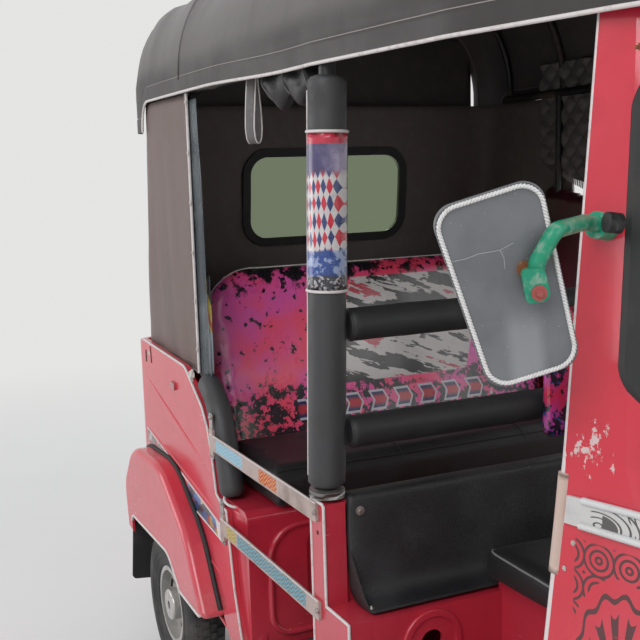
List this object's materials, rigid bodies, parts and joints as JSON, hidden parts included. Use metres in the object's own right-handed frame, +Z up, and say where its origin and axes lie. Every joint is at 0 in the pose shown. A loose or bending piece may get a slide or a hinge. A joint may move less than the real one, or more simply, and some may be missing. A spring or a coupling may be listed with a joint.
{
  "type": "three-wheeled passenger auto rickshaw",
  "caption": "Auto rickshaw with a hooded open cabin, front steering wheel on a raked fork, rear engine bay with a top-hinged lid, and guard bars on the right side.",
  "frame": {"origin": "on the ground, under the middle of the overall length and width", "axes": "+X forward, +Y to the vehicle's left, +Z up"},
  "size_m": [2.635, 1.4452, 1.858],
  "materials": {
    "red_paint": "gloss paint, sun-faded, scratched",
    "black_paint": "satin black paint",
    "silver_paint": "silver paint",
    "green_paint": "worn green paint",
    "hood_cloth": "coated hood cloth",
    "black_vinyl": "textured black vinyl",
    "seat_print": "printed vinyl under clear cover",
    "foam_sleeve": "black foam sleeve",
    "black_rubber": "matt rubber",
    "tyre": "road-worn tyre",
    "glass": "clear glass",
    "clear_lamp": "lamp lens",
    "amber_lamp": "amber and red lens",
    "steel": "bare steel",
    "cast": "dirty casting",
    "trim": "polished trim",
    "dash_plastic": "grained plastic",
    "mirror_shell": "grey mirror back"
  },
  "bodies": {
    "chassis": {"chassis_frame": "black_paint", "floor_pan": "black_paint", "front_cowl": "red_paint", "window_glass": "glass", "window_seals": "black_rubber", "dashboard": "dash_plastic", "headlamp": "clear_lamp", "signal_lamps": "amber_lamp", "trim_strip": "trim", "mirror_arms": "green_paint", "mirror_plates": "mirror_shell", "partition": "red_paint", "partition_pad": "black_vinyl", "seat_box": "red_paint", "driver_cushion": "black_vinyl", "driver_backrest": "seat_print", "roof_frame": "black_paint", "pillar_pads": "foam_sleeve", "backrest_bars": "foam_sleeve", "guard_bars": "silver_paint", "side_panel_right": "red_paint", "side_panel_left": "red_paint", "bench_base": "red_paint", "bench_cushion": "black_vinyl", "bench_backrest": "seat_print", "rear_panel": "red_paint", "fenders": "red_paint", "mudflaps": "black_rubber", "hood_roof": "hood_cloth", "hood_curtain": "hood_cloth", "rear_bumper": "black_paint", "engine_block": "cast", "exhaust": "steel", "rear_arms": "black_paint", "rear_dampers": "steel", "drive_shafts": "steel", "hanging_straps": "hood_cloth", "curtain_rolls": "black_vinyl"},
    "engine_door": {"engine_door": "red_paint"},
    "steering": {"front_fork": "black_paint", "handlebar": "dash_plastic", "front_mudguard": "red_paint"},
    "front_wheel": {"front_tyre": "tyre", "front_rim": "silver_paint"},
    "rear_wheel_right": {"rear_tyre_right": "tyre", "rear_rim_right": "silver_paint"},
    "rear_wheel_left": {"rear_tyre_left": "tyre", "rear_rim_left": "silver_paint"}
  },
  "joints": [
    {"name": "steering_turn", "type": "hinge", "parent": "chassis", "child": "steering", "pos_m": [1.1295, 0, 0], "axis": [-0.342, 0, 0.9397], "range_deg": [-38, 38]},
    {"name": "front_wheel_spin", "type": "hinge", "parent": "steering", "child": "front_wheel", "pos_m": [1.0775, 0, 0.205], "axis": [0, 1, 0], "continuous": true},
    {"name": "rear_wheel_right_spin", "type": "hinge", "parent": "chassis", "child": "rear_wheel_right", "pos_m": [-0.9225, -0.575, 0.205], "axis": [0, 1, 0], "continuous": true},
    {"name": "rear_wheel_left_spin", "type": "hinge", "parent": "chassis", "child": "rear_wheel_left", "pos_m": [-0.9225, 0.575, 0.205], "axis": [0, 1, 0], "continuous": true},
    {"name": "engine_door_lift", "type": "hinge", "parent": "chassis", "child": "engine_door", "pos_m": [-1.2465, 0, 0.803], "axis": [0, 1, 0], "range_deg": [0, 75]}
  ]
}
